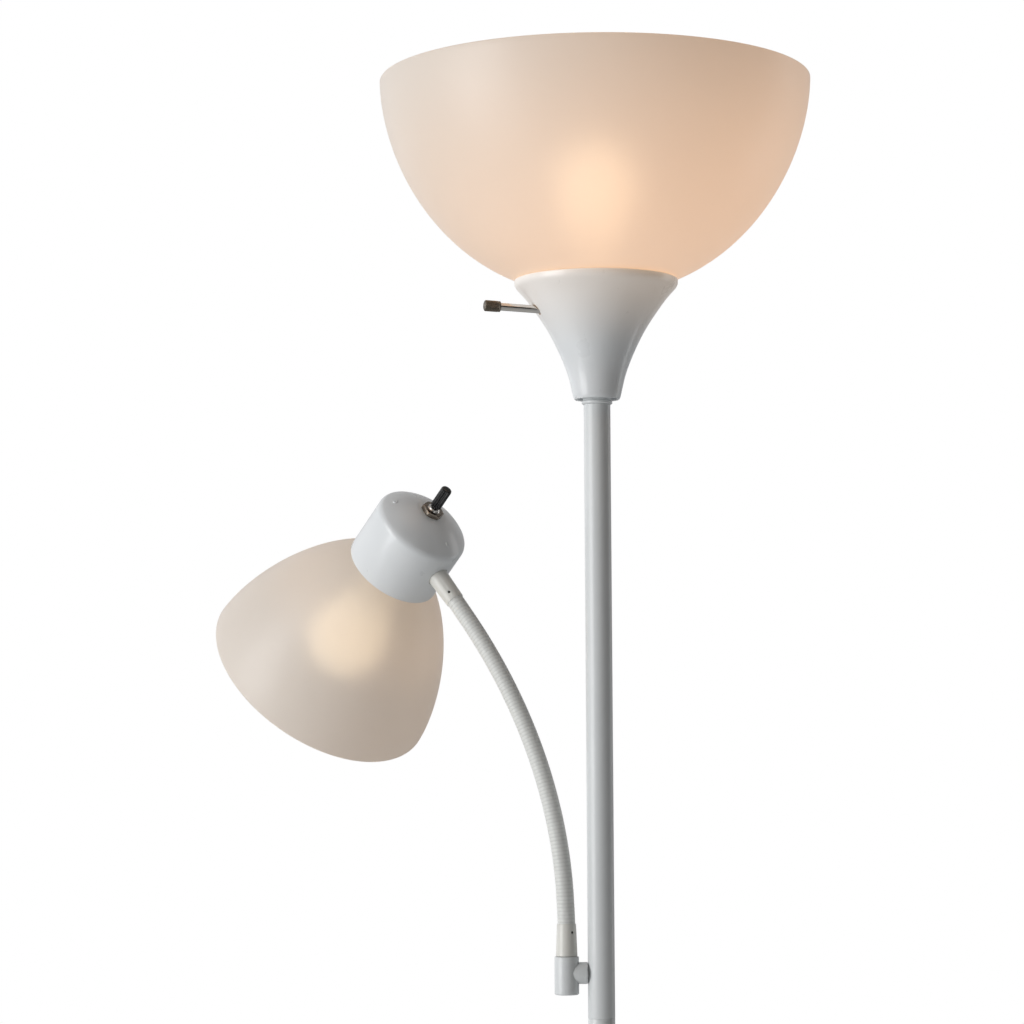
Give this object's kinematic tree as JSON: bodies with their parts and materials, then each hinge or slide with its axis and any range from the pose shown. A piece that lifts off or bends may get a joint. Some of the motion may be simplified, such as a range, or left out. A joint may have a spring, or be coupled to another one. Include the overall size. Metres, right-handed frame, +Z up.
{
  "type": "floor lamp",
  "caption": "Torchiere floor lamp: an upward bowl on a tall screwed pole and round weighted base, with a bell-shaped reading light on a bendable gooseneck arm that swivels.",
  "frame": {"origin": "centre of the flat underside of the base, on the floor, on the axis of the pole", "axes": "+Z up along the pole; the arm bracket is on the -X side; the front of the lamp faces -Y"},
  "size_m": [0.5073, 0.4341, 1.8055],
  "materials": {
    "white_paint": "satin powder coat",
    "white_plastic": "moulded, soft gloss",
    "neck_sleeving": "ribbed soft plastic",
    "frosted_shade": "frosted, lets light through",
    "zinc": "zinc plated",
    "nickel": "polished nickel plate",
    "brass": "drawn",
    "phenolic": "moulded",
    "black_plastic": "moulded",
    "bulb_glass": "frosted",
    "bulb_cap": "drawn and threaded",
    "felt": "felt",
    "concrete": "cast",
    "lead": "insulated cable",
    "gland_rubber": "soft"
  },
  "bodies": {
    "stand": {"felt_pad": "felt", "base_weight": "concrete", "base_cover": "white_paint", "cord_gland": "gland_rubber", "base_washer": "zinc", "base_nut": "zinc", "base_nipple": "zinc", "base_collar": "white_paint", "pole_lower": "white_paint", "pole_middle": "white_paint", "pole_upper": "white_paint", "pole_inserts": "zinc", "pole_couplers": "zinc", "main_lead": "lead", "pole_top_ring": "white_paint", "top_nipple": "zinc", "funnel": "white_plastic", "funnel_nut": "zinc", "socket_cap": "phenolic", "socket_body": "phenolic", "socket_screw_shell": "brass", "socket_contact": "brass", "torchiere_shade": "frosted_shade", "torchiere_shade_ring": "phenolic", "torchiere_bulb_glass": "bulb_glass", "torchiere_bulb_base": "bulb_cap", "arm_spacer": "white_paint", "arm_tee": "white_paint", "tee_plug": "white_paint", "arm_nipple": "zinc", "arm_nut": "zinc"},
    "torchiere_switch": {"switch_stem": "nickel", "switch_knob": "nickel"},
    "swivel": {"lower_sleeve": "white_paint", "lower_set_screw": "zinc", "swivel_nipple": "zinc", "swivel_nut": "zinc"},
    "link_1": {"gooseneck_link_1": "neck_sleeving"},
    "link_2": {"gooseneck_link_2": "neck_sleeving"},
    "link_3": {"gooseneck_link_3": "neck_sleeving"},
    "link_4": {"gooseneck_link_4": "neck_sleeving"},
    "link_5": {"gooseneck_link_5": "neck_sleeving"},
    "link_6": {"gooseneck_link_6": "neck_sleeving"},
    "link_7": {"gooseneck_link_7": "neck_sleeving"},
    "link_8": {"gooseneck_link_8": "neck_sleeving"},
    "head": {"upper_sleeve": "white_paint", "upper_set_screw": "zinc", "head_cap": "white_plastic", "head_socket_body": "phenolic", "head_screw_shell": "brass", "head_contact": "brass", "reading_shade": "frosted_shade", "reading_shade_ring": "phenolic", "reading_bulb_glass": "bulb_glass", "reading_bulb_base": "bulb_cap", "head_switch_body": "nickel", "switch_hex_nut": "nickel"},
    "head_knob": {"head_switch_knob": "black_plastic"}
  },
  "joints": [
    {"name": "arm_swivel", "type": "hinge", "parent": "stand", "child": "swivel", "pos_m": [-0.0282, 0, 1.0825], "axis": [0, 0, 1], "range_deg": [-85, 150]},
    {"name": "torchiere_switch_turn", "type": "hinge", "parent": "stand", "child": "torchiere_switch", "pos_m": [-0.05816, -0.0145, 1.61322], "axis": [-0.9694, -0.2417, 0.0436], "continuous": true},
    {"name": "neck_curl_1", "type": "hinge", "parent": "swivel", "child": "link_1", "pos_m": [-0.0282, 0, 1.1102], "axis": [-0.5225, -0.8526, 0], "range_deg": [-5, 9]},
    {"name": "neck_sway_1", "type": "hinge", "parent": "link_1", "child": "link_2", "pos_m": [-0.02989, 0.00103, 1.14647], "axis": [-0.8478, 0.5195, -0.1065], "range_deg": [-10, 10]},
    {"name": "neck_curl_2", "type": "hinge", "parent": "link_2", "child": "link_3", "pos_m": [-0.03479, 0.00404, 1.18234], "axis": [-0.5225, -0.8526, 0], "range_deg": [-5, 9]},
    {"name": "neck_sway_2", "type": "hinge", "parent": "link_3", "child": "link_4", "pos_m": [-0.04268, 0.00888, 1.21746], "axis": [-0.8135, 0.4985, -0.2994], "range_deg": [-10, 10]},
    {"name": "neck_curl_3", "type": "hinge", "parent": "link_4", "child": "link_5", "pos_m": [-0.05332, 0.01539, 1.25158], "axis": [-0.5225, -0.8526, 0], "range_deg": [-5, 9]},
    {"name": "neck_sway_3", "type": "hinge", "parent": "link_5", "child": "link_6", "pos_m": [-0.06644, 0.02343, 1.28448], "axis": [-0.7571, 0.4639, -0.46], "range_deg": [-10, 10]},
    {"name": "neck_curl_4", "type": "hinge", "parent": "link_6", "child": "link_7", "pos_m": [-0.08179, 0.03284, 1.31604], "axis": [-0.5225, -0.8526, 0], "range_deg": [-5, 9]},
    {"name": "neck_sway_4", "type": "hinge", "parent": "link_7", "child": "link_8", "pos_m": [-0.09912, 0.04346, 1.34614], "axis": [-0.6898, 0.4227, -0.5878], "range_deg": [-10, 10]},
    {"name": "neck_curl_5", "type": "hinge", "parent": "link_8", "child": "head", "pos_m": [-0.11818, 0.05514, 1.37477], "axis": [-0.5225, -0.8526, 0], "range_deg": [-5, 9]},
    {"name": "reading_switch_turn", "type": "hinge", "parent": "head", "child": "head_knob", "pos_m": [-0.13212, 0.05238, 1.45975], "axis": [0.501, -0.5449, 0.6724], "continuous": true}
  ],
  "couplings": [
    {"joint": "neck_curl_2", "follows": "neck_curl_1", "ratio": 1},
    {"joint": "neck_sway_2", "follows": "neck_sway_1", "ratio": 1},
    {"joint": "neck_curl_3", "follows": "neck_curl_1", "ratio": 1},
    {"joint": "neck_sway_3", "follows": "neck_sway_1", "ratio": 1},
    {"joint": "neck_curl_4", "follows": "neck_curl_1", "ratio": 1},
    {"joint": "neck_sway_4", "follows": "neck_sway_1", "ratio": 1},
    {"joint": "neck_curl_5", "follows": "neck_curl_1", "ratio": 1}
  ]
}
